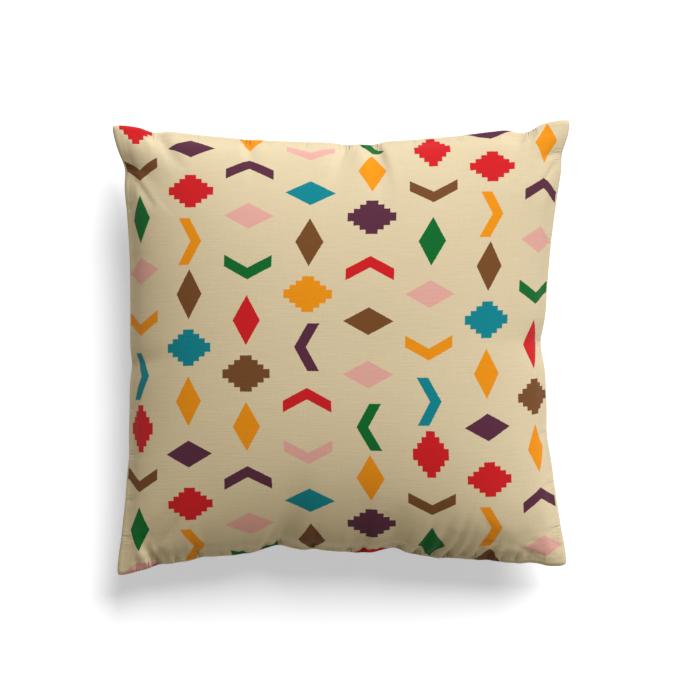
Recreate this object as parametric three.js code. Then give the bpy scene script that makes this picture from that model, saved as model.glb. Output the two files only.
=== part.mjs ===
// A square scatter cushion, 45 x 45 cm, lying on its back.
// Two flat panels are sewn together knife-edge all round and filled, so the faces crown,
// the sides are drawn in between four ears, and the cloth folds where the seam is gathered.
// Millimetres, +Z up. X runs along the bottom side and Y towards the top side of the face.
// The origin is under the middle of the cushion, on the surface it rests on.

import * as THREE from 'three';

// Heights above the surface.
const THICKNESS = 132;
const SEAM_HEIGHT = 58;
const BELLY = 78;
// Cloth lower than this is laid on the surface, so the flat has a clear edge.
const LEAST_RISE = 1;

// From the middle of the cushion to a side's seam, about.
const HALF_SIDE = 208;

// How the faces fill out: crown = ((1 - |s|^a) (1 - |t|^a))^b, with s and t from -1 to 1.
const CROWN_SQUARENESS = 2.4;
const CROWN_FULLNESS = 0.62;
// Between two ears the seam rises to SEAM_HEIGHT, and keeps that level until close to them.
const LEVEL_POWER = 4;

// The ears, where two sides meet. The tip is blunt, because the corner of the seam is turned.
const EARS = {
  bottomLeft: { x: -221.5, y: -225, z: 47 },
  bottomRight: { x: 223, y: -215, z: 43 },
  topLeft: { x: -226, y: 219.5, z: 54 },
  topRight: { x: 225, y: 225, z: 54 },
};
const BLUNT_TIP = 5.6;
const BLUNT_REACH = 8;

// The sides. Each seam is drawn in from the straight line between its ears by
// drawnIn (1 - |a|^squareness) (1 + lean a), with a from -1 at its first ear to 1 at its second.
const SIDES = {
  bottom: { from: 'bottomLeft', to: 'bottomRight', inX: 0, inY: 1, drawnIn: 21.4, squareness: 2, lean: -0.5 },
  right: { from: 'bottomRight', to: 'topRight', inX: -1, inY: 0, drawnIn: 25.5, squareness: 2, lean: 0 },
  top: { from: 'topLeft', to: 'topRight', inX: 0, inY: -1, drawnIn: 22.5, squareness: 2, lean: 0.08 },
  left: { from: 'bottomLeft', to: 'topLeft', inX: 1, inY: 0, drawnIn: 18.4, squareness: 3.2, lean: 0.22 },
};

// The main folds, one row each. A fold starts at the seam of its side, at the share `at`.
// nip: how far it draws the seam in. lift: how far it raises the seam. halfWidth: of the trough.
// press: how deep the trough is in the face. reach: how far it runs in. slant: sideways per unit run.
const FOLDS = [
  { side: 'bottom', at: -0.80, nip: 1.5, lift: -2, halfWidth: 10, press: 3.5, reach: 34, slant: -0.40 },
  { side: 'bottom', at: -0.60, nip: 1.5, lift: 1, halfWidth: 9, press: 1.2, reach: 22, slant: -0.10 },
  { side: 'bottom', at: -0.28, nip: 6.0, lift: -3, halfWidth: 16, press: 4, reach: 46, slant: 0.30 },
  { side: 'bottom', at: -0.12, nip: 2.0, lift: 1, halfWidth: 10, press: 1.5, reach: 28, slant: 0.05 },
  { side: 'bottom', at: 0.07, nip: -1.0, lift: -2, halfWidth: 10, press: 2.5, reach: 32, slant: 0.15 },
  { side: 'bottom', at: 0.22, nip: 6.0, lift: 3, halfWidth: 12, press: 2.5, reach: 30, slant: 0.25 },
  { side: 'bottom', at: 0.42, nip: -1.5, lift: -1, halfWidth: 10, press: 2.5, reach: 30, slant: 0.20 },
  { side: 'bottom', at: 0.64, nip: 1.0, lift: 1, halfWidth: 9, press: 1.5, reach: 22, slant: 0.10 },
  { side: 'bottom', at: 0.84, nip: 3.0, lift: 1, halfWidth: 9, press: 1.5, reach: 20, slant: 0.10 },
  { side: 'top', at: -0.80, nip: 3.5, lift: -2, halfWidth: 9, press: 3, reach: 26, slant: 0.35 },
  { side: 'top', at: -0.40, nip: 0.5, lift: 1, halfWidth: 9, press: 2.5, reach: 30, slant: 0.10 },
  { side: 'top', at: 0.03, nip: 2.0, lift: -3, halfWidth: 12, press: 3, reach: 34, slant: -0.25 },
  { side: 'top', at: 0.13, nip: 2.5, lift: -1, halfWidth: 10, press: 3.5, reach: 48, slant: 0.20 },
  { side: 'top', at: 0.79, nip: 7.0, lift: -2, halfWidth: 12, press: 1.5, reach: 26, slant: -0.30 },
  { side: 'left', at: 0.80, nip: 4.0, lift: -3, halfWidth: 14, press: 1.2, reach: 26, slant: -0.20 },
  { side: 'left', at: -0.06, nip: 1.5, lift: -2, halfWidth: 12, press: 0.8, reach: 30, slant: 0.10 },
  { side: 'left', at: -0.45, nip: 1.0, lift: 2, halfWidth: 14, press: 0.6, reach: 26, slant: 0.0 },
  { side: 'right', at: 0.84, nip: 3.0, lift: -2, halfWidth: 12, press: 2, reach: 30, slant: -0.20 },
  { side: 'right', at: 0.0, nip: 4.0, lift: -3, halfWidth: 18, press: 1, reach: 36, slant: 0.10 },
  { side: 'right', at: -0.40, nip: 2.0, lift: 2, halfWidth: 18, press: 0.6, reach: 30, slant: 0.0 },
];
// A nip eases away this far in from the seam, and a trough starts this far in. Both ease with the
// power FADE_POWER of the run. The seam is held still at the ears by the power EAR_POWER.
const NIP_REACH = 22;
const TROUGH_START = 7;
const FADE_POWER = 1.5;
const EAR_POWER = 8;
// The cloth stands up on both sides of a trough by about this share of its depth.
const SHOULDER = 0.9;
// Near the seam a fold presses sideways into the filling, and further in it presses down.
const TURN_DOWN = 34;

// Soft hollows behind the ears and the seam, where the filling does not reach: middle, long and
// short half width, turn of the long way from +X in degrees, and depth in the upper face.
const HOLLOWS = [
  { x: -190, y: 170, long: 28, short: 14, turn: -60, depth: 2.5 },
  { x: 192, y: 196, long: 20, short: 11, turn: 35, depth: 3 },
  { x: 206, y: 186, long: 18, short: 9, turn: 70, depth: 2 },
  { x: -184, y: -186, long: 26, short: 12, turn: 50, depth: 3 },
  { x: 186, y: -182, long: 24, short: 12, turn: -40, depth: 2 },
  { x: 150, y: -188, long: 55, short: 11, turn: -3, depth: 4.5 },
];
// A hollow has its full depth where the crown is more than one part in this many.
const HOLLOW_START = 4;

// The faces are drawn on a grid of this many cells each way, closer together near the seams.
const CELLS = 48;
const EDGE_CLOSENESS = 2.2;
const EDGE_POWER = 10;
const SPACING_STEPS = 4000;

const CLOTH_COLOUR = 0xe4d8b4;
const CLOTH_ROUGHNESS = 0.92;

const mix = (a, b, share) => a + (b - a) * share;
const bell = (x) => Math.exp(-x * x);
const ease = (run, reach) => Math.exp(-((Math.max(run, 0) / reach) ** FADE_POWER));

// A point of a side's seam in plan, before its folds, at the share a.
function seamPlan(side, a) {
  const from = EARS[side.from];
  const to = EARS[side.to];
  const share = (1 + a) / 2;
  const drawn = side.drawnIn * (1 - Math.abs(a) ** side.squareness) * (1 + side.lean * a);
  return {
    x: mix(from.x, to.x, share) + side.inX * drawn,
    y: mix(from.y, to.y, share) + side.inY * drawn,
  };
}

// The plan of the panel at s, t: a Coons patch, which blends the four drawn-in sides.
function panelPlan(s, t) {
  const u = (1 + s) / 2;
  const v = (1 + t) / 2;
  const left = seamPlan(SIDES.left, t);
  const right = seamPlan(SIDES.right, t);
  const bottom = seamPlan(SIDES.bottom, s);
  const top = seamPlan(SIDES.top, s);
  const blend = (axis) => mix(left[axis], right[axis], u) + mix(bottom[axis], top[axis], v)
    - mix(
      mix(EARS.bottomLeft[axis], EARS.bottomRight[axis], u),
      mix(EARS.topLeft[axis], EARS.topRight[axis], u),
      v,
    );
  return { x: blend('x'), y: blend('y') };
}

// The level of the seam carried across the panel: the ears' heights, raised between the ears.
function seamLevel(s, t) {
  const u = (1 + s) / 2;
  const v = (1 + t) / 2;
  const ears = mix(
    mix(EARS.bottomLeft.z, EARS.bottomRight.z, u),
    mix(EARS.topLeft.z, EARS.topRight.z, u),
    v,
  );
  const meanEar = (EARS.bottomLeft.z + EARS.bottomRight.z + EARS.topLeft.z + EARS.topRight.z) / 4;
  return ears + (SEAM_HEIGHT - meanEar) * (1 - (s * t) ** LEVEL_POWER);
}

function crown(s, t) {
  const across = 1 - Math.abs(s) ** CROWN_SQUARENESS;
  const along = 1 - Math.abs(t) ** CROWN_SQUARENESS;
  return (Math.max(across, 0) * Math.max(along, 0)) ** CROWN_FULLNESS;
}

// Share along a side, and distance in from its seam, of the point s, t.
const PLACE_ON_SIDE = {
  bottom: (s, t) => ({ along: s, run: (1 + t) * HALF_SIDE }),
  top: (s, t) => ({ along: s, run: (1 - t) * HALF_SIDE }),
  left: (s, t) => ({ along: t, run: (1 + s) * HALF_SIDE }),
  right: (s, t) => ({ along: t, run: (1 - s) * HALF_SIDE }),
};

// How one fold moves the point s, t. up is 1 on the upper face and -1 on the underside.
function foldShift(fold, s, t, up) {
  const side = SIDES[fold.side];
  const { along, run } = PLACE_ON_SIDE[fold.side](s, t);
  const across = ((along - fold.at) * HALF_SIDE - fold.slant * run) / fold.halfWidth;
  const hump = bell(across);
  const atSeam = hump * ease(run, NIP_REACH) * (1 - along ** EAR_POWER);
  const started = 1 - Math.exp(-run / TROUGH_START);
  const trough = fold.press * (1 - SHOULDER * across * across) * hump * ease(run, fold.reach) * started;
  const sideways = Math.exp(-run / TURN_DOWN);
  const inward = fold.nip * atSeam + trough * sideways;
  const down = trough * Math.sqrt(1 - sideways * sideways);
  return {
    x: side.inX * inward,
    y: side.inY * inward,
    z: fold.lift * atSeam - up * down,
  };
}

function hollowDepth(hollow, x, y) {
  const turn = THREE.MathUtils.degToRad(hollow.turn);
  const dx = x - hollow.x;
  const dy = y - hollow.y;
  const along = (dx * Math.cos(turn) + dy * Math.sin(turn)) / hollow.long;
  const across = (dy * Math.cos(turn) - dx * Math.sin(turn)) / hollow.short;
  return hollow.depth * bell(along) * bell(across);
}

// The corner of the seam is turned, so each ear's tip is drawn back a little towards the middle.
function bluntTip(point) {
  for (const ear of Object.values(EARS)) {
    const distance = Math.hypot(point.x - ear.x, point.y - ear.y);
    const back = BLUNT_TIP * Math.exp(-distance / BLUNT_REACH) * Math.SQRT1_2;
    point.x -= Math.sign(ear.x) * back;
    point.y -= Math.sign(ear.y) * back;
  }
}

// The cushion's own weight flattens it where it rests.
const settle = (z) => (z < LEAST_RISE ? 0 : z);

// A point of the cushion's surface at s, t, on the upper face (up = 1) or the underside (up = -1).
function facePoint(s, t, up) {
  const point = panelPlan(s, t);
  const level = seamLevel(s, t);
  const filled = crown(s, t);
  point.z = level + (up > 0 ? (THICKNESS - SEAM_HEIGHT) * filled : -BELLY * filled);
  if (up > 0) {
    for (const hollow of HOLLOWS) {
      point.z -= hollowDepth(hollow, point.x, point.y) * Math.min(filled * HOLLOW_START, 1);
    }
  }
  for (const fold of FOLDS) {
    const shift = foldShift(fold, s, t, up);
    point.x += shift.x;
    point.y += shift.y;
    point.z += shift.z;
  }
  bluntTip(point);
  point.z = settle(point.z);
  return point;
}

// The shares of the grid lines, from -1 to 1, with their spacing worked out from a density
// that rises towards both ends.
function gridShares() {
  const steps = SPACING_STEPS;
  const total = [0];
  for (let i = 0; i < steps; i += 1) {
    const a = (2 * (i + 0.5)) / steps - 1;
    total.push(total[i] + 1 + EDGE_CLOSENESS * Math.abs(a) ** EDGE_POWER);
  }
  const shares = [];
  let step = 0;
  for (let line = 0; line <= CELLS; line += 1) {
    const wanted = (total[steps] * line) / CELLS;
    while (step < steps && total[step + 1] < wanted) step += 1;
    const within = step < steps ? (wanted - total[step]) / (total[step + 1] - total[step]) : 0;
    shares.push(Math.min((2 * (step + within)) / steps - 1, 1));
  }
  shares[0] = -1;
  shares[CELLS] = 1;
  return shares;
}

// The closed surface of the cushion: the upper face's grid and the underside's, with the seam's
// points shared. Each cell's diagonal runs towards the nearest ear.
function cushionGeometry() {
  const shares = gridShares();
  const positions = [];
  const addPoint = (s, t, up) => {
    const { x, y, z } = facePoint(s, t, up);
    positions.push(x, y, z);
    return positions.length / 3 - 1;
  };
  const upper = shares.map((s) => shares.map((t) => addPoint(s, t, 1)));
  const onSeam = (index) => index === 0 || index === CELLS;
  const under = shares.map((s, i) => shares.map((t, j) => (
    onSeam(i) || onSeam(j) ? upper[i][j] : addPoint(s, t, -1)
  )));
  const triangles = [];
  const addCell = (grid, i, j, up) => {
    const corners = [grid[i][j], grid[i + 1][j], grid[i + 1][j + 1], grid[i][j + 1]];
    const middle = (CELLS - 1) / 2;
    if ((i - middle) * (j - middle) < 0) corners.push(corners.shift());
    const [a, b, c, d] = up > 0 ? corners : [corners[0], corners[3], corners[2], corners[1]];
    triangles.push(a, b, c, a, c, d);
  };
  for (let i = 0; i < CELLS; i += 1) {
    for (let j = 0; j < CELLS; j += 1) {
      addCell(upper, i, j, 1);
      addCell(under, i, j, -1);
    }
  }
  const geometry = new THREE.BufferGeometry();
  geometry.setAttribute('position', new THREE.Float32BufferAttribute(positions, 3));
  geometry.setIndex(triangles);
  return geometry;
}

// The origin is under the middle of the cushion's box.
function centreInPlan(geometry) {
  geometry.computeBoundingBox();
  const middle = geometry.boundingBox.getCenter(new THREE.Vector3());
  geometry.translate(-middle.x, -middle.y, -geometry.boundingBox.min.z);
  geometry.computeVertexNormals();
  return geometry;
}

const cloth = new THREE.MeshStandardMaterial({
  color: CLOTH_COLOUR,
  roughness: CLOTH_ROUGHNESS,
  metalness: 0,
});
const cushion = new THREE.Mesh(centreInPlan(cushionGeometry()), cloth);
cushion.name = 'cushion';

const group = new THREE.Group();
group.add(cushion);

export default group;
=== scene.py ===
"""Square scatter cushion with a printed kilim cover, 45 x 45 cm, lying on its back.

Two flat panels are sewn knife-edge all round and filled. The seam's outline, the crown and the
main folds come from the same named sizes as the solid model. The cloth is then settled by a
pressure simulation with its seam held, and the fine gathers and the rolled seam are added to it.
Tables are in millimetres, and everything that reaches Blender is in metres.
"""

import math

import bpy
import numpy as np
from mathutils import Euler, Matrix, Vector


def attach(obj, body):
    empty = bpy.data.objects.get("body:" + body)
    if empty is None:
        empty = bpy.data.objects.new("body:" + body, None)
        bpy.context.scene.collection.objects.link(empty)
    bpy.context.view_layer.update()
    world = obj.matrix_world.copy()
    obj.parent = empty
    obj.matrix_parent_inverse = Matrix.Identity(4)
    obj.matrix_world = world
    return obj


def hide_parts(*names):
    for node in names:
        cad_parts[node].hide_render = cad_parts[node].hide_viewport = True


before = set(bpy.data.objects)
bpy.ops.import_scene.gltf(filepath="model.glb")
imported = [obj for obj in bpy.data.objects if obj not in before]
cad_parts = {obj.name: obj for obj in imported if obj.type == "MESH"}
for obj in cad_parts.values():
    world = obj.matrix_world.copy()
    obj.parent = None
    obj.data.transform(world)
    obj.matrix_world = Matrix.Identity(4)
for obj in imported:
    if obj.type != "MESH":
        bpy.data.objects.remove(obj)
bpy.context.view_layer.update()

bl_info = {
    "name": "Kilim Cushion",
    "version": (1, 0, 0),
    "blender": (4, 5, 0),
    "location": "3D View > Sidebar > Cushion",
    "description": "Sews, fills and prints a square kilim cushion and sets its stage",
    "category": "Object",
}

MM = 0.001
NODE = "cushion"

# The photograph's frame: its side in pixels, the size of one pixel at the seam, and the pixel
# under the cushion's middle.
FRAME_SIDE = 700
PIXEL = 0.97 * MM
MIDDLE_PIXEL = (341.0, 348.0)

# The plain floor, in metres from its middle to its sides, and its finish.
FLOOR_REACH = 12.0
FLOOR_BLUE = 1.005
FLOOR_ROUGHNESS = 0.85
FLOOR_GLOSS = 0.1
# Where the lamp's own mark hangs. Its light is even, so this changes nothing in the picture.
LAMP_DISTANCE = 2.0

# Half of a side, for the runs and shares along it.
HALF_SIDE = 208.0

# The ears, where two sides meet: x, y and height of the tip. Blunt tips are drawn back this far,
# over this reach. The power says how near the ears the seam keeps its height.
EARS = {
    "bottom_left": (-221.5, -225.0, 47.0),
    "bottom_right": (223.0, -215.0, 43.0),
    "top_left": (-226.0, 219.5, 54.0),
    "top_right": (225.0, 225.0, 54.0),
}
BLUNT_TIP = 5.6
BLUNT_REACH = 8.0
SEAM_RISE_POWER = 4

# The sides: first ear, second ear, inward direction, how far the seam is drawn in between the
# ears, how square that curve is, and how much it leans towards the second ear.
SIDES = {
    "bottom": ("bottom_left", "bottom_right", (0, 1), 21.4, 2.0, -0.50),
    "right": ("bottom_right", "top_right", (-1, 0), 25.5, 2.0, 0.0),
    "top": ("top_left", "top_right", (0, -1), 22.5, 2.0, 0.08),
    "left": ("bottom_left", "top_left", (1, 0), 18.4, 3.2, 0.22),
}

# The main folds. Each starts at the seam of its side, at a share from -1 to 1 along it.
# side, at, nip (seam drawn in), lift (seam raised), half width, press (depth), reach, slant
FOLDS = [
    ("bottom", -0.80, 1.5, -2, 10, 3.5, 34, -0.40),
    ("bottom", -0.60, 1.5, 1, 9, 1.2, 22, -0.10),
    ("bottom", -0.28, 6.0, -3, 16, 4.0, 46, 0.30),
    ("bottom", -0.12, 2.0, 1, 10, 1.5, 28, 0.05),
    ("bottom", 0.07, -1.0, -2, 10, 2.5, 32, 0.15),
    ("bottom", 0.22, 6.0, 3, 12, 2.5, 30, 0.25),
    ("bottom", 0.42, -1.5, -1, 10, 2.5, 30, 0.20),
    ("bottom", 0.64, 1.0, 1, 9, 1.5, 22, 0.10),
    ("bottom", 0.84, 3.0, 1, 9, 1.5, 20, 0.10),
    ("top", -0.80, 3.5, -2, 9, 3.0, 26, 0.35),
    ("top", -0.40, 0.5, 1, 9, 2.5, 30, 0.10),
    ("top", 0.03, 2.0, -3, 12, 3.0, 34, -0.25),
    ("top", 0.13, 2.5, -1, 10, 3.5, 48, 0.20),
    ("top", 0.79, 7.0, -2, 12, 1.5, 26, -0.30),
    ("left", 0.80, 4.0, -3, 14, 1.2, 26, -0.20),
    ("left", -0.06, 1.5, -2, 12, 0.8, 30, 0.10),
    ("left", -0.45, 1.0, 2, 14, 0.6, 26, 0.0),
    ("right", 0.84, 3.0, -2, 12, 2.0, 30, -0.20),
    ("right", 0.0, 4.0, -3, 18, 1.0, 36, 0.10),
    ("right", -0.40, 2.0, 2, 18, 0.6, 30, 0.0),
]
# How far in a nip reaches, how soon a trough has its depth, how folds fade away, how near an ear
# they stop, how high their shoulders are, and how far in a trough turns from sideways to down.
NIP_REACH = 22.0
TROUGH_START = 7.0
FADE_POWER = 1.5
EAR_POWER = 8
SHOULDER = 0.9
TURN_DOWN = 34.0

# Soft hollows behind the ears and the seam: x, y, long and short half width, turn in degrees,
# depth.
HOLLOWS = [
    (-190, 170, 28, 14, -60, 2.5),
    (192, 196, 20, 11, 35, 3),
    (206, 186, 18, 9, 70, 2),
    (-184, -186, 26, 12, 50, 3),
    (186, -182, 24, 12, -40, 2),
    (150, -188, 55, 11, -3, 4.5),
]
# A hollow has its full depth where the crown is more than one part in this many.
HOLLOW_START = 4.0

# The cloth's share of the way across is worked out in this many steps, and along a seam it lies
# evenly up to this power of the way from the other two sides.
PROFILE_STEPS = 2000
EVEN_POWER = 3

# The gathers, where the cloth is longer than the seam that takes it in. A gather starts at the
# seam of its side, at a share from -1 to 1 along it.
# side, at, half width, depth, reach, slant
GATHERS = [
    ("bottom", -0.89, 5, 2.0, 14, -0.20),
    ("bottom", -0.81, 7, 4.5, 26, -0.35),
    ("bottom", -0.72, 5, 2.5, 15, 0.0),
    ("bottom", -0.62, 6, 3.0, 20, -0.10),
    ("bottom", -0.53, 5, 2.0, 13, 0.10),
    ("bottom", -0.43, 5, 2.5, 14, 0.10),
    ("bottom", -0.35, 7, 3.5, 28, 0.40),
    ("bottom", -0.28, 6, 3.5, 22, 0.20),
    ("bottom", -0.20, 5, 2.0, 14, 0.0),
    ("bottom", -0.125, 5, 3.5, 20, 0.10),
    ("bottom", -0.05, 5, 2.0, 14, 0.0),
    ("bottom", 0.03, 6, 3.0, 20, 0.10),
    ("bottom", 0.09, 5, 4.0, 26, 0.10),
    ("bottom", 0.165, 5, 2.0, 15, 0.10),
    ("bottom", 0.24, 6, 3.5, 24, 0.25),
    ("bottom", 0.315, 7, 5.0, 38, 0.30),
    ("bottom", 0.385, 6, 3.5, 30, 0.30),
    ("bottom", 0.45, 6, 4.5, 34, 0.30),
    ("bottom", 0.51, 5, 3.0, 22, 0.25),
    ("bottom", 0.57, 5, 3.0, 20, 0.20),
    ("bottom", 0.635, 5, 3.5, 20, 0.20),
    ("bottom", 0.69, 5, 2.5, 15, 0.20),
    ("bottom", 0.75, 5, 3.0, 15, 0.20),
    ("bottom", 0.81, 4, 2.0, 12, 0.10),
    ("bottom", 0.87, 4, 2.0, 10, 0.10),
    ("top", -0.83, 6, 2.1, 22, 0.30),
    ("top", -0.62, 5, 1.0, 12, 0.0),
    ("top", -0.40, 7, 2.4, 26, 0.10),
    ("top", -0.31, 5, 1.0, 14, 0.0),
    ("top", -0.15, 6, 1.0, 14, 0.0),
    ("top", 0.03, 6, 2.8, 26, -0.25),
    ("top", 0.09, 5, 1.4, 16, 0.0),
    ("top", 0.14, 6, 2.4, 40, 0.20),
    ("top", 0.30, 6, 1.0, 14, 0.0),
    ("top", 0.50, 6, 1.0, 12, 0.0),
    ("top", 0.66, 5, 1.0, 12, 0.0),
    ("top", 0.83, 6, 2.1, 24, -0.20),
    ("left", 0.80, 6, 1.2, 26, -0.20),
    ("left", 0.62, 6, 0.6, 16, 0.0),
    ("left", 0.40, 7, 0.6, 16, 0.0),
    ("left", 0.20, 6, 0.5, 14, 0.0),
    ("left", -0.06, 7, 0.9, 24, 0.10),
    ("left", -0.25, 6, 0.6, 16, 0.0),
    ("left", -0.45, 7, 0.7, 20, 0.0),
    ("left", -0.65, 6, 0.7, 18, 0.10),
    ("left", -0.82, 5, 0.9, 20, 0.0),
    ("right", 0.84, 6, 1.1, 24, -0.20),
    ("right", 0.66, 6, 0.6, 14, 0.0),
    ("right", 0.45, 7, 0.5, 14, 0.0),
    ("right", 0.22, 7, 0.5, 16, 0.0),
    ("right", 0.0, 8, 0.9, 28, 0.10),
    ("right", -0.20, 7, 0.5, 16, 0.0),
    ("right", -0.40, 7, 0.6, 20, 0.0),
    ("right", -0.62, 6, 0.6, 16, 0.0),
    ("right", -0.82, 6, 0.9, 18, 0.0),
]
# How far in from the seam a gather has its depth: as spare cloth, as a crease and as puckers.
GATHER_START = 3.0
CREASE_START = 1.0
PUCKER_START = 0.5
# Shares of a gather's depth: the crease that it leaves in the finished cloth, and how far it draws
# the seam in. A crease stands out by at most this share of its way from the seam.
CREASE = 0.62
NIP_SHARE = 0.22
RELIEF_SHARE = 0.35
# The finest puckers, narrower than the cloth's cells, are drawn in the material: how far in they
# reach, the depth of a full gather, their pitch along the seam and their length, their height, and
# how sharp their ridges are.
PUCKER_REACH = 11.0
FULL_GATHER = 4.5
PUCKER_PITCH = 4.5
PUCKER_LENGTH = 1000 / 30
PUCKER_HEIGHT = 3.0
PUCKER_SHARPNESS = 7.0

# The seam allowance lies inside, this wide, and shows as a ridge of this height and half width.
ALLOWANCE = 9.5
ALLOWANCE_RIDGE = 0.5
RIDGE_HALF_WIDTH = 2.0
# It flattens the cloth beside the seam by this share, easing away over this reach, and draws it
# in, by this much at most and at this run from the seam.
LIP_SHARE = 0.50
LIP_REACH = 12.0
LIP_DRAW = 2.4
LIP_DRAW_AT = 8.0
# The cloth beside the sewn line: how proud it stands and where, and the reach of the nip on it.
ROLL_SHARE = 1.6
ROLL_AT = 3.0
NIP_WIDTH = 1.2
# Inside the seam the two faces are at least this far apart.
TWO_LAYERS = 0.8

# How the cloth behaves while it settles, by the names of the simulation's own settings.
CLOTH_SETTINGS = {
    "quality": 6,
    "mass": 0.3,
    "tension_stiffness": 40,
    "compression_stiffness": 40,
    "shear_stiffness": 5,
    "bending_stiffness": 0.5,
    "tension_damping": 15,
    "compression_damping": 15,
    "shear_damping": 15,
    "bending_damping": 0.5,
    "air_damping": 3,
    "pin_stiffness": 50,
}

# Unevenness of the cloth, as noise over the flat panel: waves for each metre across and up, its
# detail, and the least and the range of the shade that it gives.
WEFT_SLUBS = (38.0, 820.0, 3.0, 0.92, 0.16)
WARP_SLUBS = (900.0, 55.0, 2.0, 0.96, 0.08)
CLOUDING = (14.0, 18.0, 3.0, 0.97, 0.06)
# The weave: pitch of two yarns, shares of the warp's slubs and of the yarns in its height beside
# the weft's slubs, that height, and how strongly it shows.
YARN_PITCH = 0.85
WARP_HEIGHT = 0.4
YARN_HEIGHT = 0.12
WEAVE_HEIGHT = 0.6
WEAVE_STRENGTH = 0.28
# The cloth's finish: range and least of its roughness, its gloss and its faint sheen.
ROUGHNESS = (0.12, 0.82)
CLOTH_GLOSS = 0.12
SHEEN = 0.02
SHEEN_ROUGHNESS = 0.6

# The print's motifs, in millimetres: long way and short way. A chevron's short way is its arm.
LOZENGE = (47, 26)
STEPPED = (45, 34)
STEPS_UP = 4
CHEVRON = (45, 11)
CHEVRON_SLOPE = 0.55
# How far the ink's edge wanders along the yarns.
INK_BLEED = 1.2
# Each motif's code: kind, turned to stand up, flipped.
LOZENGE_CODE, STEPPED_CODE, CHEVRON_CODE = 0.0, 0.5, 1.0
MOTIFS = {
    "lozenge": (LOZENGE_CODE, 0, 0),
    "tall lozenge": (LOZENGE_CODE, 1, 0),
    "stepped": (STEPPED_CODE, 0, 0),
    "tall stepped": (STEPPED_CODE, 1, 0),
    "chevron down": (CHEVRON_CODE, 0, 0),
    "chevron up": (CHEVRON_CODE, 0, 1),
    "chevron right": (CHEVRON_CODE, 1, 1),
    "chevron left": (CHEVRON_CODE, 1, 0),
}
# The repeat, as a chart: rows from the bottom, columns from the left.
CHART = [
    [
        ("lozenge", "brown"), ("chevron down", "mustard"), ("stepped", "teal"),
        ("tall lozenge", "red"), ("chevron left", "purple"),
    ],
    [
        ("chevron up", "red"), ("lozenge", "pink"), ("tall lozenge", "brown"),
        ("chevron down", "green"), ("stepped", "mustard"),
    ],
    [
        ("stepped", "purple"), ("tall lozenge", "green"), ("chevron right", "mustard"),
        ("lozenge", "pink"), ("tall lozenge", "brown"),
    ],
    [
        ("tall lozenge", "mustard"), ("chevron down", "brown"), ("stepped", "red"),
        ("chevron up", "purple"), ("lozenge", "teal"),
    ],
    [
        ("chevron left", "green"), ("tall stepped", "red"), ("lozenge", "purple"),
        ("tall lozenge", "mustard"), ("chevron down", "pink"),
    ],
    [
        ("lozenge", "pink"), ("chevron right", "teal"), ("tall lozenge", "mustard"),
        ("stepped", "brown"), ("chevron up", "red"),
    ],
]


class CushionSizes(bpy.types.PropertyGroup):
    """Sizes of the sewn and filled cushion"""

    panel_side: bpy.props.FloatProperty(
        name="Panel side",
        description="Side of each flat panel, seam to seam",
        default=0.450,
        unit="LENGTH",
    )
    thickness: bpy.props.FloatProperty(
        name="Thickness",
        description="Height of the filled cushion where it is fullest",
        default=0.132,
        unit="LENGTH",
    )
    seam_height: bpy.props.FloatProperty(
        name="Seam height",
        description="Height of the seam between two ears",
        default=0.058,
        unit="LENGTH",
    )
    belly: bpy.props.FloatProperty(
        name="Belly",
        description="How far the underside would hang below the seam if nothing held it up",
        default=0.078,
        unit="LENGTH",
    )
    rest_blend: bpy.props.FloatProperty(
        name="Resting bend",
        description="How softly the underside bends into the flat that it rests on",
        default=0.006,
        unit="LENGTH",
    )
    squareness: bpy.props.FloatProperty(
        name="Crown squareness",
        description="Power of the crown across the panel; higher is fuller towards the seams",
        default=2.4,
    )
    fullness: bpy.props.FloatProperty(
        name="Crown fullness",
        description="Power of the whole crown; lower rises more steeply from the seams",
        default=0.62,
    )


class CushionCloth(bpy.types.PropertyGroup):
    """How the cloth is settled and finished along its seam"""

    cells: bpy.props.IntProperty(
        name="Cells",
        description="Cloth cells along each side of a panel while it settles",
        default=110,
        min=20,
    )
    frames: bpy.props.IntProperty(
        name="Settling steps",
        description="Steps of the pressure simulation",
        default=20,
        min=1,
    )
    pressure: bpy.props.FloatProperty(
        name="Filling pressure",
        description="How hard the filling presses on the cloth",
        default=8.0,
    )
    most_moved: bpy.props.FloatProperty(
        name="Most moved",
        description="Furthest that settling may move a point of the cloth",
        default=0.010,
        unit="LENGTH",
    )
    roll: bpy.props.FloatProperty(
        name="Seam roll",
        description="How far the cloth stands proud beside the sewn line",
        default=0.0009,
        unit="LENGTH",
    )


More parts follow.
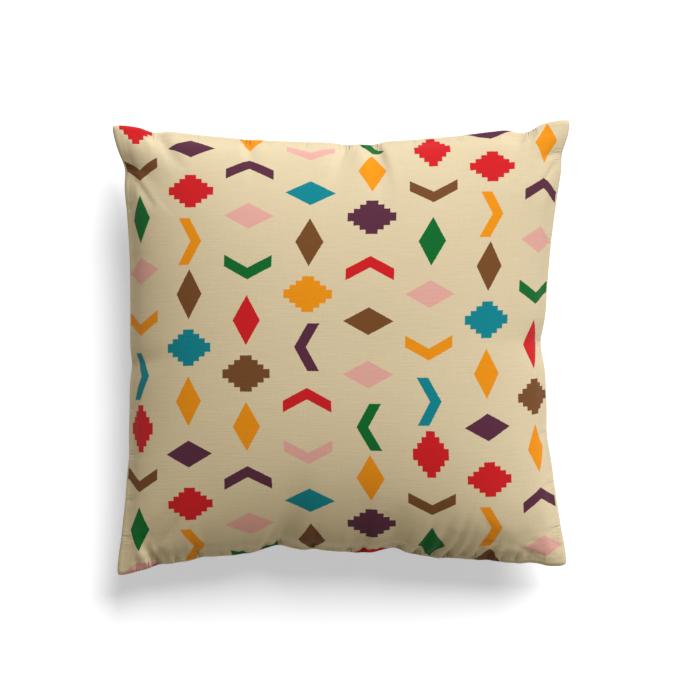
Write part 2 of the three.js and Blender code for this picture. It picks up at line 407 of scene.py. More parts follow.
class CushionPrint(bpy.types.PropertyGroup):
    """Colours and repeat of the printed cover"""

    ground: bpy.props.FloatVectorProperty(
        name="Ground",
        description="Undyed cream of the cloth",
        subtype="COLOR",
        default=(0.448, 0.379, 0.258),
    )
    mustard: bpy.props.FloatVectorProperty(
        name="Mustard", description="Printed mustard", subtype="COLOR", default=(0.527, 0.182, 0.002)
    )
    red: bpy.props.FloatVectorProperty(
        name="Red", description="Printed red", subtype="COLOR", default=(0.388, 0.006, 0.010)
    )
    brown: bpy.props.FloatVectorProperty(
        name="Brown", description="Printed brown", subtype="COLOR", default=(0.112, 0.043, 0.012)
    )
    pink: bpy.props.FloatVectorProperty(
        name="Pink", description="Printed pink", subtype="COLOR", default=(0.480, 0.251, 0.228)
    )
    teal: bpy.props.FloatVectorProperty(
        name="Teal", description="Printed teal", subtype="COLOR", default=(0.000, 0.146, 0.186)
    )
    green: bpy.props.FloatVectorProperty(
        name="Green", description="Printed green", subtype="COLOR", default=(0.000, 0.092, 0.015)
    )
    purple: bpy.props.FloatVectorProperty(
        name="Purple", description="Printed purple", subtype="COLOR", default=(0.062, 0.014, 0.034)
    )
    column: bpy.props.FloatProperty(
        name="Column pitch", description="Width of one column of motifs", default=0.057, unit="LENGTH"
    )
    row: bpy.props.FloatProperty(
        name="Row pitch",
        description="Height of one row of motifs; every second column drops by half of it",
        default=0.050,
        unit="LENGTH",
    )


class StageLook(bpy.types.PropertyGroup):
    """Floor, light and camera"""

    floor_tone: bpy.props.FloatProperty(
        name="Floor tone", description="Lightness of the plain floor", default=0.62, min=0, max=1
    )
    floor_glow: bpy.props.FloatProperty(
        name="Floor glow",
        description="The floor's own light, which keeps its shadows pale",
        default=0.43,
        min=0,
    )
    key_strength: bpy.props.FloatProperty(
        name="Key light",
        description="Strength of the large soft light, from the upper right",
        default=5.2,
    )
    key_softness: bpy.props.FloatProperty(
        name="Key softness",
        description="How wide the soft light looks",
        default=math.radians(36),
        subtype="ANGLE",
    )
    key_height: bpy.props.FloatProperty(
        name="Key height",
        description="Height of the light over the floor",
        default=math.radians(40),
        subtype="ANGLE",
    )
    key_turn: bpy.props.FloatProperty(
        name="Key turn",
        description="Direction that the light comes from, counted from +X",
        default=math.radians(61),
        subtype="ANGLE",
    )
    room_strength: bpy.props.FloatProperty(
        name="Room light", description="Strength of the even light from all round", default=0.33
    )
    room_colour: bpy.props.FloatVectorProperty(
        name="Room colour",
        description="Warm tint of the room's light",
        subtype="COLOR",
        default=(1.0, 0.88, 0.55),
    )
    glow_colour: bpy.props.FloatVectorProperty(
        name="Glow colour",
        description="Tint of the floor's own light, which keeps its shadows neutral",
        subtype="COLOR",
        default=(0.80, 0.85, 1.0),
    )
    lens: bpy.props.FloatProperty(
        name="Lens", description="Focal length of the camera", default=0.100, subtype="DISTANCE_CAMERA"
    )


def bell(x):
    """exp(-x squared): 1 at the middle, 0.37 at x = 1."""
    return np.exp(-x * x)


def ease(run, reach):
    """Fades from 1 at the seam to 0 well past reach: exp(-(run / reach) to FADE_POWER)."""
    return np.exp(-((np.maximum(run, 0) / reach) ** FADE_POWER))


def blend(first, second, share):
    """first where share is 0, second where it is 1."""
    return first + (second - first) * share


def seam_plan(side, a):
    """Plan of a side's seam at the shares a: the line between its ears, drawn in by
    drawn_in (1 - |a|^squareness) (1 + lean a)."""
    first, second, inward, drawn_in, squareness, lean = SIDES[side]
    share = (1 + a) / 2
    drawn = drawn_in * (1 - np.abs(a) ** squareness) * (1 + lean * a)
    x = blend(EARS[first][0], EARS[second][0], share) + inward[0] * drawn
    y = blend(EARS[first][1], EARS[second][1], share) + inward[1] * drawn
    return np.stack([x, y])


def across_ears(axis, u, v):
    """One coordinate of the four ears, blended across the panel in straight lines."""
    low = blend(EARS["bottom_left"][axis], EARS["bottom_right"][axis], u)
    high = blend(EARS["top_left"][axis], EARS["top_right"][axis], u)
    return blend(low, high, v)


def panel_plan(s, t):
    """Plan of the panel at s, t: a Coons patch, the sum of the blends between opposite sides
    less the straight blend of the four ears."""
    u, v = (1 + s) / 2, (1 + t) / 2
    sides = blend(seam_plan("left", t), seam_plan("right", t), u)
    ends = blend(seam_plan("bottom", s), seam_plan("top", s), v)
    ears = np.stack([across_ears(0, u, v), across_ears(1, u, v)])
    return sides + ends - ears


def seam_level(s, t, seam_height):
    """Height of the seam carried across the panel: the ears' heights, and between them the rise
    over their mean times 1 - (s t)^power."""
    mean_ear = sum(ear[2] for ear in EARS.values()) / len(EARS)
    rise = (seam_height - mean_ear) * (1 - (s * t) ** SEAM_RISE_POWER)
    return across_ears(2, (1 + s) / 2, (1 + t) / 2) + rise


def crown(s, t, squareness, fullness):
    """((1 - |s|^a) (1 - |t|^a))^b: 1 in the middle of the panel and 0 along its seams."""
    across = np.clip(1 - np.abs(s) ** squareness, 0, 1)
    along = np.clip(1 - np.abs(t) ** squareness, 0, 1)
    return (across * along) ** fullness


def place_on_side(side, s, t):
    """Share along the side, and run in from its seam in millimetres."""
    along = s if side in ("bottom", "top") else t
    share_in = {"bottom": 1 + t, "top": 1 - t, "left": 1 + s, "right": 1 - s}[side]
    return along, share_in * HALF_SIDE


def run_from_seam(s, t):
    """Run to the nearest seam in millimetres."""
    return np.minimum(1 - np.abs(s), 1 - np.abs(t)) * HALF_SIDE


def share_grid(cells):
    """Shares from -1 to 1 across and up a panel, on a grid of this many cells each way."""
    shares = np.linspace(-1, 1, cells + 1)
    return np.meshgrid(shares, shares, indexing="ij")


def fold_shift(fold, s, t, up):
    """How one fold moves the points. Its seam is nipped in and lifted by a bell that eases away
    inwards, and the face has a trough with raised shoulders, (1 - k x^2) exp(-x^2), which presses
    sideways near the seam and down further in."""
    side, at, nip, lift, half_width, press, reach, slant = fold
    inward = SIDES[side][2]
    along, run = place_on_side(side, s, t)
    across = ((along - at) * HALF_SIDE - slant * run) / half_width
    hump = bell(across)
    at_seam = hump * ease(run, NIP_REACH) * (1 - along**EAR_POWER)
    started = 1 - np.exp(-run / TROUGH_START)
    trough = press * (1 - SHOULDER * across**2) * hump * ease(run, reach) * started
    sideways = np.exp(-run / TURN_DOWN)
    drawn = nip * at_seam + trough * sideways
    down = trough * np.sqrt(1 - sideways**2)
    return np.stack([inward[0] * drawn, inward[1] * drawn, lift * at_seam - up * down])


def hollow_depth(hollow, x, y):
    """A long soft dent: depth times a bell along its length and a bell across it."""
    middle_x, middle_y, long, short, turn, depth = hollow
    turn = math.radians(turn)
    dx, dy = x - middle_x, y - middle_y
    along = (dx * math.cos(turn) + dy * math.sin(turn)) / long
    across = (dy * math.cos(turn) - dx * math.sin(turn)) / short
    return depth * bell(along) * bell(across)


def blunt_tips(points):
    """Draws each ear's tip back to the middle, by BLUNT_TIP exp(-distance / BLUNT_REACH)."""
    for x, y, _ in EARS.values():
        back = BLUNT_TIP * np.exp(-np.hypot(points[0] - x, points[1] - y) / BLUNT_REACH) / math.sqrt(2)
        points[0] -= math.copysign(1, x) * back
        points[1] -= math.copysign(1, y) * back
    return points


def settle(z, bend):
    """Height of the cloth over the surface that it rests on: 0 where it would be lower, with a
    parabola of half width bend into the flat."""
    soft = (z + bend) ** 2 / (4 * bend)
    return np.where(z <= -bend, 0.0, np.where(z >= bend, z, soft))


def face_points(s, t, up, sizes):
    """Points of the upper face (up = 1) or the underside (up = -1) at s, t, in millimetres."""
    plan = panel_plan(s, t)
    filled = crown(s, t, sizes.squareness, sizes.fullness)
    seam_height = sizes.seam_height / MM
    rise = (sizes.thickness / MM - seam_height) * filled if up > 0 else -sizes.belly / MM * filled
    points = np.concatenate([plan, (seam_level(s, t, seam_height) + rise)[None]])
    if up > 0:
        for hollow in HOLLOWS:
            points[2] -= hollow_depth(hollow, plan[0], plan[1]) * np.minimum(filled * HOLLOW_START, 1)
    for fold in FOLDS:
        points += fold_shift(fold, s, t, up)
    points = blunt_tips(points)
    points[2] = settle(points[2], sizes.rest_blend / MM)
    return points


def plan_share(share, sizes):
    """Share of the plan at which each share of the cloth lies. The cloth runs over the crown, so
    its share is the length along the crown's middle profile, worked out as a running sum."""
    steps = np.linspace(0, 1, PROFILE_STEPS + 1)
    rise = sizes.thickness / MM - sizes.seam_height / MM
    height = rise * crown(steps, 0 * steps, sizes.squareness, sizes.fullness)
    length = np.concatenate([[0], np.cumsum(np.hypot(np.diff(steps) * HALF_SIDE, np.diff(height)))])
    return np.sign(share) * np.interp(np.abs(share), length / length[-1], steps)


def cloth_in_plan(s, t, sizes):
    """Plan shares of the cloth shares s, t. Along a seam the cloth lies evenly, and away from the
    seam it follows the crown."""
    over_s, over_t = 1 - np.abs(t) ** EVEN_POWER, 1 - np.abs(s) ** EVEN_POWER
    return blend(s, plan_share(s, sizes), over_s), blend(t, plan_share(t, sizes), over_t)


def panel_numbers(lines):
    """Point numbers of the two faces' grids, which share the seam's points, and where the
    seam is on the grid."""
    upper = np.arange(lines * lines).reshape(lines, lines)
    seam = np.ones((lines, lines), bool)
    seam[1:-1, 1:-1] = False
    under = upper.copy()
    under[~seam] = lines * lines + np.arange((~seam).sum())
    return upper, under, seam


def grid_faces(numbers, up):
    """Four-sided faces over a grid of point numbers, facing up or down."""
    corners = [numbers[:-1, :-1], numbers[1:, :-1], numbers[1:, 1:], numbers[:-1, 1:]]
    faces = np.stack(corners, -1).reshape(-1, 4)
    return faces if up > 0 else faces[:, ::-1]


def joined(upper_face, under_face, seam):
    """Points of both faces as one list, three numbers each, with the seam's points once."""
    upper_list = np.moveaxis(upper_face, 0, -1).reshape(-1, 3)
    return np.concatenate([upper_list, np.moveaxis(under_face, 0, -1)[~seam]])


def filled_mesh(name, points, lines):
    """A closed mesh of both faces from a list of points in metres."""
    upper, under, _ = panel_numbers(lines)
    faces = np.concatenate([grid_faces(upper, 1), grid_faces(under, -1)])
    mesh = bpy.data.meshes.new(name)
    mesh.from_pydata(points, [], faces)
    mesh.update()
    return mesh


def settle_cloth(upper_face, under_face, s, t, sizes, cloth):
    """Runs the pressure simulation on the filled shape. The cloth's own size is that of the two
    flat panels, made longer by ripples where they are gathered, and its seam is held. Returns the
    settled faces, in millimetres."""
    lines = len(s)
    upper, under, seam = panel_numbers(lines)
    start = joined(upper_face, under_face, seam)
    mesh = filled_mesh("settling", start * MM, lines)
    piece = bpy.data.objects.new("settling", mesh)
    scene = bpy.context.scene
    scene.collection.objects.link(piece)
    piece.shape_key_add(name="filled")
    flat = piece.shape_key_add(name="flat")
    half = sizes.panel_side / 2
    ripple = gather_depth(s, t, GATHER_START, bell) * MM
    flat_faces = [np.stack([s * half, t * half, -up * ripple]) for up in (1, -1)]
    flat.data.foreach_set("co", joined(*flat_faces, seam).ravel())
    held = piece.vertex_groups.new(name="seam")
    held.add(upper[seam].tolist(), 1.0, "REPLACE")
    modifier = piece.modifiers.new("Cloth", "CLOTH")
    settings = modifier.settings
    for name, value in CLOTH_SETTINGS.items():
        setattr(settings, name, value)
    settings.rest_shape_key = flat
    settings.vertex_group_mass = held.name
    settings.use_pressure = True
    settings.uniform_pressure_force = cloth.pressure
    settings.effector_weights.gravity = 0
    modifier.collision_settings.use_collision = False
    modifier.point_cache.frame_start = 1
    modifier.point_cache.frame_end = cloth.frames
    for step in range(1, cloth.frames + 1):
        scene.frame_set(step)
    settled = piece.evaluated_get(bpy.context.evaluated_depsgraph_get()).data
    points = np.empty(len(settled.vertices) * 3, np.float32)
    settled.vertices.foreach_get("co", points)
    points = points.reshape(-1, 3).astype(float) / MM
    bpy.data.objects.remove(piece)
    bpy.data.meshes.remove(mesh)
    scene.frame_set(1)
    moved = points - start
    far = np.linalg.norm(moved, axis=1, keepdims=True)
    most = cloth.most_moved / MM
    points = start + moved * np.minimum(1, most / np.maximum(far, 1e-9))
    return np.moveaxis(points[upper], -1, 0), np.moveaxis(points[under], -1, 0)


def halved(values, axis):
    """The grid with a line added half way between each two, by the cubic through its four
    nearest lines: 9/16 of the two beside it less 1/16 of the two beyond."""
    lines = np.moveaxis(values, axis, 0)
    beyond = np.concatenate([2 * lines[:1] - lines[1:2], lines, 2 * lines[-1:] - lines[-2:-1]])
    middle = (9 * (lines[:-1] + lines[1:]) - (beyond[:-3] + beyond[3:])) / 16
    finer = np.empty((2 * len(lines) - 1, *lines.shape[1:]))
    finer[0::2] = lines
    finer[1::2] = middle
    return np.moveaxis(finer, 0, axis)


def finer_face(face):
    """A face's grid with twice as many cells each way."""
    return halved(halved(face, 1), 2)


def outward(face, up):
    """Unit normals of a face's grid, from the cross product of its two directions."""
    ds = np.gradient(face, axis=1)
    dt = np.gradient(face, axis=2)
    normal = np.cross(ds, dt, axis=0) * up
    return normal / np.maximum(np.linalg.norm(normal, axis=0), 1e-9)


def gather_depth(s, t, start, bend):
    """Depth of the gathers: the sum of each one's depth times bend(x) across it, faded in from the
    seam by 1 - exp(-run / start) and out again past its reach."""
    total = np.zeros_like(s)
    for side, at, half_width, depth, reach, slant in GATHERS:
        along, run = place_on_side(side, s, t)
        across = ((along - at) * HALF_SIDE - slant * run) / half_width
        total += depth * bend(across) * ease(run, reach) * (1 - np.exp(-run / start))
    return total


def crease(x):
    """A valley between two ridges, with fainter ones beyond: cos(2.8 x) exp(-0.7 x^2)."""
    return np.cos(2.8 * x) * np.exp(-0.7 * x * x)


def seam_lip(upper_face, under_face, s, t):
    """Flattens both faces beside the seam, where the allowance lies between them. Their distance
    shrinks by LIP_SHARE exp(-(run / LIP_REACH) squared), and the cloth is drawn in by
    LIP_DRAW r exp((1 - r squared) / 2) with r the run over LIP_DRAW_AT."""
    middle = (upper_face[2] + under_face[2]) / 2
    flat = LIP_SHARE * bell(run_from_seam(s, t) / LIP_REACH)
    for face in (upper_face, under_face):
        face[2] += (middle - face[2]) * flat
        for side, (_, _, inward, *_) in SIDES.items():
            along, run = place_on_side(side, s, t)
            r = run / LIP_DRAW_AT
            drawn = LIP_DRAW * r * np.exp((1 - r * r) / 2) * (1 - along**EAR_POWER)
            face[0] += inward[0] * drawn
            face[1] += inward[1] * drawn


def seam_roll(s, t, roll):
    """Height of the cloth beside the sewn line. With r the run over ROLL_AT it is roll times
    ROLL_SHARE r exp(1 - r) less exp(-run / NIP_WIDTH), and a faint bell over the edge of the seam
    allowance is added."""
    run = run_from_seam(s, t)
    r = run / ROLL_AT
    beside = ROLL_SHARE * r * np.exp(1 - r) - np.exp(-run / NIP_WIDTH)
    return roll * beside + ALLOWANCE_RIDGE * bell((run - ALLOWANCE) / RIDGE_HALF_WIDTH)


def gathered_share(s, t):
    """How strongly the cloth is gathered, from 0 to 1: its depth over FULL_GATHER, close to the
    seam only."""
    share = np.clip(gather_depth(s, t, PUCKER_START, bell) / FULL_GATHER, 0, 1)
    return share * ease(run_from_seam(s, t), PUCKER_REACH)


def seam_relief(s, t, roll):
    """How far the finished cloth stands out beside the seam: its roll less the creases, and away
    from the seam itself by at most RELIEF_SHARE of the run."""
    relief = seam_roll(s, t, roll) - CREASE * gather_depth(s, t, CREASE_START, crease)
    run = run_from_seam(s, t)
    most = RELIEF_SHARE * run
    return np.where(run > 0, np.clip(relief, -most, most), relief)


def gather_nips(s, t):
    """How far the gathers draw the seam in, along x and y: NIP_SHARE of each one's depth, by a bell
    across it."""
    nips = np.zeros((3, *s.shape))
    for side, at, half_width, depth, _, _ in GATHERS:
        along, run = place_on_side(side, s, t)
        hump = bell((along - at) * HALF_SIDE / half_width)
        drawn = NIP_SHARE * depth * hump * ease(run, GATHER_START * 2)
        nips[0] += SIDES[side][2][0] * drawn
        nips[1] += SIDES[side][2][1] * drawn
    return nips


def put_panel_map(mesh, s, t, half):
    """Lays the flat panel's own map on both faces of the mesh, in metres from its middle."""
    lines = len(s)
    places = np.stack([s * half, t * half], -1).reshape(-1, 2)
    numbers = np.arange(lines * lines).reshape(lines, lines)
    corners = np.concatenate([places[grid_faces(numbers, up).ravel()] for up in (1, -1)])
    layer = mesh.uv_layers.new(name="panel")
    layer.uv.foreach_set("vector", corners.astype(np.float32).ravel())
    layer.active_render = True


def put_gathered(mesh, s, t, seam):
    """Keeps on each point how strongly the cloth is gathered there, for the material."""
    gathered = gathered_share(s, t)
    values = np.concatenate([gathered.ravel(), gathered[~seam]])
    strength = mesh.attributes.new("gathered", "FLOAT", "POINT")
    strength.data.foreach_set("value", values.astype(np.float32))


class Wiring:
    """Short ways to add shader nodes to a material and join them."""

    def __init__(self, material):
        material.use_nodes = True
        self.tree = material.node_tree
        self.tree.nodes.clear()

    def add(self, kind, **values):
        """A new node with these settings."""
        node = self.tree.nodes.new(kind)
        for key, value in values.items():
            setattr(node, key, value)
        return node

    def put(self, socket, value):
        """Joins another node's output to the socket, or sets its number or colour."""
        if isinstance(value, bpy.types.NodeSocket):
            self.tree.links.new(value, socket)
        else:
            socket.default_value = value

    def math(self, operation, first, second=0.0, third=0.0):
        """The result of one sum on numbers or outputs."""
        node = self.add("ShaderNodeMath", operation=operation)
        for socket, value in zip(node.inputs, (first, second, third)):
            self.put(socket, value)
        return node.outputs[0]

    def mix(self, share, first, second, blend_type="MIX"):
        """first where share is 0, second or its blend with first where it is 1."""
        node = self.add("ShaderNodeMix", data_type="RGBA", blend_type=blend_type)
        self.put(node.inputs[0], share)
        self.put(node.inputs[6], first)
        self.put(node.inputs[7], second)
        return node.outputs[2]

    def noise(self, across, up, detail):
        """Soft noise from 0 to 1 over two coordinates, one wave to each unit."""
        place = self.add("ShaderNodeCombineXYZ")
        self.put(place.inputs[0], across)
        self.put(place.inputs[1], up)
        node = self.add("ShaderNodeTexNoise")
        node.inputs["Scale"].default_value = 1.0
        node.inputs["Detail"].default_value = detail
        self.put(node.inputs["Vector"], place.outputs[0])
        return node.outputs["Fac"]


def chart_ramp(wiring, place, colours):
    """The chart's cells as a ramp of flat steps, and its colour at a cell's place from 0 to 1."""
    ramp = wiring.add("ShaderNodeValToRGB")
    ramp.color_ramp.interpolation = "CONSTANT"
    stops = ramp.color_ramp.elements
    while len(stops) < len(colours):
        stops.new(1.0)
    for number, (stop, colour) in enumerate(zip(stops, colours)):
        stop.position = number / len(colours)
        stop.color = (*colour, 1.0)
    wiring.put(ramp.inputs["Fac"], place)
    return ramp.outputs["Color"]


def print_cells(wiring, across, up, design):
    """Cuts the cloth into columns and rows, every second column dropped by half a row. Gives the
    place in the chart, and the offset from the cell's middle in millimetres."""
    m = wiring.math
    column_at = m("DIVIDE", across, design.column)
    column = m("FLOOR", column_at)
    drop = m("MULTIPLY", m("FLOORED_MODULO", column, 2.0), 0.5)
    row_at = m("ADD", m("DIVIDE", up, design.row), drop)
    row = m("FLOOR", row_at)
    x = m("MULTIPLY", m("SUBTRACT", m("FRACT", column_at), 0.5), design.column / MM)
    y = m("MULTIPLY", m("SUBTRACT", m("FRACT", row_at), 0.5), design.row / MM)
    columns, rows = len(CHART[0]), len(CHART)
    in_column = m("FLOORED_MODULO", column, columns)
    number = m("MULTIPLY_ADD", m("FLOORED_MODULO", row, rows), columns, in_column)
    return m("DIVIDE", m("ADD", number, 0.5), rows * columns), x, y


def motif_share(wiring, code, x, y):
    """1 on the motif and 0 beside it. The code says which motif, and if it is turned or flipped.
    A lozenge is |x| / a + |y| / b < 1, a stepped one rounds y down to whole steps, and a chevron
    is a band of equal height along y = slope |x|."""
    m = wiring.math
    parts = wiring.add("ShaderNodeSeparateColor")
    wiring.put(parts.inputs[0], code)
    kind, turned, flipped = parts.outputs[:3]
    lying = m("SUBTRACT", 1.0, turned)
    long_way = m("ADD", m("MULTIPLY", x, lying), m("MULTIPLY", y, turned))
    short_way = m("ADD", m("MULTIPLY", y, lying), m("MULTIPLY", x, turned))
    short_way = m("MULTIPLY", short_way, m("SUBTRACT", 1.0, m("MULTIPLY", flipped, 2.0)))
    a, b = m("ABSOLUTE", long_way), m("ABSOLUTE", short_way)
    lozenge = m("ADD", m("DIVIDE", a, LOZENGE[0] / 2), m("DIVIDE", b, LOZENGE[1] / 2))
    steps = m("FLOOR", m("DIVIDE", b, STEPPED[1] / 2 / STEPS_UP))
    stepped = m("ADD", m("DIVIDE", a, STEPPED[0] / 2), m("DIVIDE", steps, STEPS_UP))
    centred = m("ADD", short_way, CHEVRON_SLOPE * CHEVRON[0] / 4)
    arm = m("ABSOLUTE", m("SUBTRACT", centred, m("MULTIPLY", a, CHEVRON_SLOPE)))
    chevron = m("MAXIMUM", m("DIVIDE", arm, CHEVRON[1] / 2), m("DIVIDE", a, CHEVRON[0] / 2))
    size = lozenge
    for code_kind, other in ((STEPPED_CODE, stepped), (CHEVRON_CODE, chevron)):
        chosen = m("COMPARE", kind, code_kind, 0.1)
        size = m("ADD", size, m("MULTIPLY", chosen, m("SUBTRACT", other, size)))
    return m("LESS_THAN", size, 1.0)


def pucker_height(wiring, across, up, half):
    """Fine ridges across the seam, where the cloth is gathered: 1 - sharpness |noise - 0.5|, with
    noise that is narrow along the seam and long away from it."""
    m = wiring.math
    far_across, far_up = m("ABSOLUTE", across), m("ABSOLUTE", up)
    at_ends = m("GREATER_THAN", far_up, far_across)
    at_sides = m("SUBTRACT", 1.0, at_ends)
    along = m("ADD", m("MULTIPLY", across, at_ends), m("MULTIPLY", up, at_sides))
    run = m("SUBTRACT", half, m("MAXIMUM", far_up, far_across))
    waves_along = m("DIVIDE", along, PUCKER_PITCH * MM)
    noise = wiring.noise(waves_along, m("DIVIDE", run, PUCKER_LENGTH * MM), 1.0)
    off_middle = m("ABSOLUTE", m("SUBTRACT", noise, 0.5))
    ridges = m("MAXIMUM", m("SUBTRACT", 1.0, m("MULTIPLY", off_middle, PUCKER_SHARPNESS)), 0.0)
    gathered = wiring.add("ShaderNodeAttribute", attribute_name="gathered")
    return m("MULTIPLY", ridges, gathered.outputs["Fac"])


def printed_colour(wiring, across, up, slubs, design):
    """The ground with the charted motifs on it. The ink's edge wanders along the yarns by
    INK_BLEED (slubs - 0.5)."""
    m = wiring.math
    bled = [
        m("ADD", place, m("MULTIPLY", m("SUBTRACT", uneven, 0.5), INK_BLEED * MM))
        for place, uneven in zip((across, up), slubs)
    ]
    place, x, y = print_cells(wiring, *bled, design)
    cells = [cell for row in CHART for cell in row]
    code = chart_ramp(wiring, place, [MOTIFS[motif] for motif, _ in cells])
    ink = chart_ramp(wiring, place, [getattr(design, name) for _, name in cells])
    return wiring.mix(motif_share(wiring, code, x, y), (*design.ground, 1.0), ink)


def weave_height(wiring, across, up, weft_slubs, warp_slubs):
    """Height of the plain weave: the slubs, and sin(across) sin(up) for the yarns."""
    m = wiring.math
    yarn = 2 * math.pi / (YARN_PITCH * MM)
    over, under = m("SINE", m("MULTIPLY", across, yarn)), m("SINE", m("MULTIPLY", up, yarn))
    uneven = m("ADD", weft_slubs, m("MULTIPLY", warp_slubs, WARP_HEIGHT))
    return m("ADD", uneven, m("MULTIPLY", m("MULTIPLY", over, under), YARN_HEIGHT))


def cloth_material(name, design, printed, half):
    """Matte plain-weave cloth: fine yarns, uneven slubs mostly along the weft, and the print."""
    material = bpy.data.materials.new(name)
    wiring = Wiring(material)
    m = wiring.math
    flat = wiring.add("ShaderNodeUVMap", uv_map="panel")
    split = wiring.add("ShaderNodeSeparateXYZ")
    wiring.put(split.inputs[0], flat.outputs["UV"])
    across, up = split.outputs[:2]
    uneven, shade = [], 1.0
    for waves_across, waves_up, detail, least, span in (WEFT_SLUBS, WARP_SLUBS, CLOUDING):
        waves = m("MULTIPLY", across, waves_across), m("MULTIPLY", up, waves_up)
        uneven.append(wiring.noise(*waves, detail))
        shade = m("MULTIPLY", m("MULTIPLY_ADD", uneven[-1], span, least), shade)
    slubs = uneven[:2]
    colour = (*design.ground, 1.0)
    if printed:
        colour = printed_colour(wiring, across, up, slubs, design)
    tone = wiring.add("ShaderNodeCombineColor")
    for socket in tone.inputs[:3]:
        wiring.put(socket, shade)
    puckers = wiring.add("ShaderNodeBump")
    puckers.inputs["Strength"].default_value = 1.0
    puckers.inputs["Distance"].default_value = PUCKER_HEIGHT * MM
    wiring.put(puckers.inputs["Height"], pucker_height(wiring, across, up, half))
    weave = wiring.add("ShaderNodeBump")
    weave.inputs["Strength"].default_value = WEAVE_STRENGTH
    weave.inputs["Distance"].default_value = WEAVE_HEIGHT * MM
    wiring.put(weave.inputs["Height"], weave_height(wiring, across, up, *slubs))
    wiring.put(weave.inputs["Normal"], puckers.outputs["Normal"])
    shader = wiring.add("ShaderNodeBsdfPrincipled")
    wiring.put(shader.inputs["Base Color"], wiring.mix(1.0, colour, tone.outputs[0], "MULTIPLY"))
    wiring.put(shader.inputs["Roughness"], m("MULTIPLY_ADD", slubs[0], *ROUGHNESS))
    wiring.put(shader.inputs["Normal"], weave.outputs["Normal"])
    shader.inputs["Specular IOR Level"].default_value = CLOTH_GLOSS
    shader.inputs["Sheen Weight"].default_value = SHEEN
    shader.inputs["Sheen Roughness"].default_value = SHEEN_ROUGHNESS
    output = wiring.add("ShaderNodeOutputMaterial")
    wiring.put(output.inputs["Surface"], shader.outputs[0])
    return material


def settled_faces(sizes, cloth):
    """The two faces of the filled cushion, settled and made finer, in millimetres."""
    s, t = share_grid(cloth.cells)
    plan = cloth_in_plan(s, t, sizes)
    faces = [face_points(*plan, up, sizes) for up in (1, -1)]
    faces = settle_cloth(*faces, s, t, sizes, cloth)
    return [finer_face(face) for face in faces]


def sewn_points(faces, s, t, seam, sizes, cloth):
    """All points of the cover, in millimetres: the faces with their lip, relief and nips, set down
    on the resting face and centred. Where they would meet they are kept TWO_LAYERS apart."""
    seam_lip(*faces, s, t)
    relief = seam_relief(s, t, cloth.roll / MM)
    edge = (outward(faces[0], 1) + outward(faces[1], -1)) / 2
    for up, face in zip((1, -1), faces):
        direction = np.where(seam, edge, outward(face, up))
        face += direction * relief + gather_nips(s, t)
    upper, under = faces
    under[2] = settle(under[2], sizes.rest_blend / MM / 3)
    short = np.where(seam, 0, np.maximum(TWO_LAYERS - (upper[2] - under[2]), 0)) / 2
    upper[2] += short
    under[2] -= short
    points = joined(upper, under, seam)
    points[:, 2] -= points[:, 2].min()
    points[:, :2] -= (points.max(0) + points.min(0))[:2] / 2
    return points


def cushion_cover(sizes, cloth):
    """The whole cover as one closed mesh: filled from its sizes, settled, made finer, gathered
    along its seams and set down on its resting face."""
    faces = settled_faces(sizes, cloth)
    lines = faces[0].shape[1]
    s, t = share_grid(lines - 1)
    seam = panel_numbers(lines)[2]
    points = sewn_points(faces, s, t, seam, sizes, cloth)
    mesh = filled_mesh("cushion_cover", points * MM, lines)
    mesh.shade_smooth()
    put_panel_map(mesh, s, t, sizes.panel_side / 2)
    put_gathered(mesh, s, t, seam)
    return mesh


class CUSHION_OT_cover(bpy.types.Operator):
    """Sew, fill and print the cushion's cover"""

    bl_idname = "cushion.cover"
    bl_label = "Make the cushion"
    bl_options = {"REGISTER", "UNDO"}

    def execute(self, context):
        scene = context.scene
        mesh = cushion_cover(scene.cushion_sizes, scene.cushion_cloth)
        half = scene.cushion_sizes.panel_side / 2
        mesh.materials.append(cloth_material("printed_cloth", scene.cushion_print, True, half))
        mesh.materials.append(cloth_material("back_cloth", scene.cushion_print, False, half))
        slots = np.zeros(len(mesh.polygons), np.int32)
        slots[len(slots) // 2 :] = 1
        mesh.polygons.foreach_set("material_index", slots)
        cover = bpy.data.objects.new("cushion_cover", mesh)
        scene.collection.objects.link(cover)
        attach(cover, "root")
        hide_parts(NODE)
        return {"FINISHED"}


def plain_floor(tone, glow, glow_colour):
    """A wide plain floor at the height that the cushion rests on, lit a little from within."""
    far = FLOOR_REACH
    corners = [(-far, -far, 0), (far, -far, 0), (far, far, 0), (-far, far, 0)]
    mesh = bpy.data.meshes.new("floor")
    mesh.from_pydata(corners, [], [(0, 1, 2, 3)])
    material = bpy.data.materials.new("floor_paint")
    wiring = Wiring(material)
    shader = wiring.add("ShaderNodeBsdfPrincipled")
    shader.inputs["Base Color"].default_value = (tone, tone, tone * FLOOR_BLUE, 1)
    shader.inputs["Emission Color"].default_value = (*glow_colour, 1)
    shader.inputs["Emission Strength"].default_value = glow
    shader.inputs["Roughness"].default_value = FLOOR_ROUGHNESS
    shader.inputs["Specular IOR Level"].default_value = FLOOR_GLOSS
    output = wiring.add("ShaderNodeOutputMaterial")
    wiring.put(output.inputs["Surface"], shader.outputs[0])
    mesh.materials.append(material)
    return bpy.data.objects.new("floor", mesh)


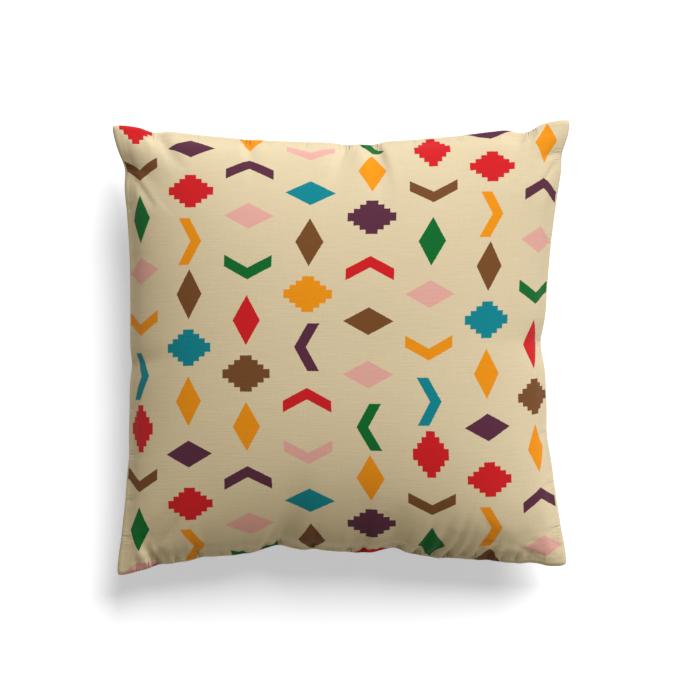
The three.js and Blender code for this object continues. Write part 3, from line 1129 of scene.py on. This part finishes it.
class CUSHION_OT_stage(bpy.types.Operator):
    """Set the floor, the light and the camera over the cushion"""

    bl_idname = "cushion.stage"
    bl_label = "Set the stage"
    bl_options = {"REGISTER", "UNDO"}

    def execute(self, context):
        scene = context.scene
        look = scene.cushion_stage
        floor = plain_floor(look.floor_tone, look.floor_glow, look.glow_colour)
        scene.collection.objects.link(floor)
        key = bpy.data.lights.new("key_light", "SUN")
        key.energy = look.key_strength
        key.angle = look.key_softness
        lamp = bpy.data.objects.new("key_light", key)
        tilt = Euler((0, -look.key_height, look.key_turn))
        towards = Vector((1, 0, 0))
        towards.rotate(tilt)
        lamp.location = towards * LAMP_DISTANCE
        lamp.rotation_euler = towards.to_track_quat("Z", "Y").to_euler()
        scene.collection.objects.link(lamp)
        room = bpy.data.worlds.new("room_light")
        room.use_nodes = True
        light = room.node_tree.nodes["Background"]
        light.inputs["Color"].default_value = (*look.room_colour, 1)
        light.inputs["Strength"].default_value = look.room_strength
        scene.world = room
        camera = bpy.data.cameras.new("camera")
        camera.lens = look.lens / MM
        view = bpy.data.objects.new("camera", camera)
        middle = FRAME_SIDE / 2
        distance = FRAME_SIDE * PIXEL * camera.lens / camera.sensor_width
        view.location = (
            (middle - MIDDLE_PIXEL[0]) * PIXEL,
            (MIDDLE_PIXEL[1] - middle) * PIXEL,
            scene.cushion_sizes.seam_height + distance,
        )
        scene.collection.objects.link(view)
        scene.camera = view
        scene.view_settings.view_transform = "Standard"
        return {"FINISHED"}


class CUSHION_PT_panel(bpy.types.Panel):
    """Sizes, colours and steps of the cushion"""

    bl_label = "Cushion"
    bl_idname = "CUSHION_PT_panel"
    bl_space_type = "VIEW_3D"
    bl_region_type = "UI"
    bl_category = "Cushion"

    def draw(self, context):
        for group in GROUPS:
            settings = getattr(context.scene, group)
            box = self.layout.box()
            for name in settings.bl_rna.properties.keys():
                if name not in {"rna_type", "name"}:
                    box.prop(settings, name)
        for step in STEPS:
            self.layout.operator(step.bl_idname)


GROUPS = {
    "cushion_sizes": CushionSizes,
    "cushion_cloth": CushionCloth,
    "cushion_print": CushionPrint,
    "cushion_stage": StageLook,
}
STEPS = [CUSHION_OT_cover, CUSHION_OT_stage]


def register():
    for group in GROUPS.values():
        bpy.utils.register_class(group)
    for kind in [*STEPS, CUSHION_PT_panel]:
        bpy.utils.register_class(kind)
    for name, group in GROUPS.items():
        setattr(bpy.types.Scene, name, bpy.props.PointerProperty(type=group))


def unregister():
    for name in GROUPS:
        delattr(bpy.types.Scene, name)
    for kind in [CUSHION_PT_panel, *STEPS, *GROUPS.values()]:
        bpy.utils.unregister_class(kind)


def main():
    register()
    bpy.ops.cushion.cover()
    bpy.ops.cushion.stage()


if __name__ == "__main__":
    main()
